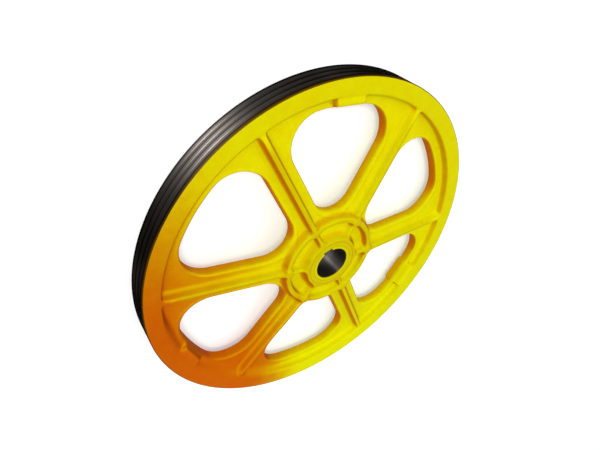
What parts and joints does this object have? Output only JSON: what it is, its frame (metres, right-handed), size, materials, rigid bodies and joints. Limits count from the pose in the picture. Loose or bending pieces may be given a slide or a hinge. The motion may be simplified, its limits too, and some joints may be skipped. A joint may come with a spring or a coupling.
{
  "type": "wire rope sheave",
  "caption": "Cast spoked wheel with round grooves in its rim that guide wire rope, a dished ribbed web with windows, and a keyed hub.",
  "frame": {"origin": "centre of the back face of the rim, on the axis of the bore; the wheel lies flat on this face", "axes": "+Z along the axis of the bore, towards the front where the web rises to the hub; +Y along the middle of one spoke"},
  "size_m": [0.6, 0.6, 0.0694],
  "materials": {
    "sheave_paint": "yellow gloss paint over rough cast iron, with the grooved rim and the bore bare"
  },
  "bodies": {
    "root": {"sheave": "sheave_paint"}
  },
  "joints": []
}
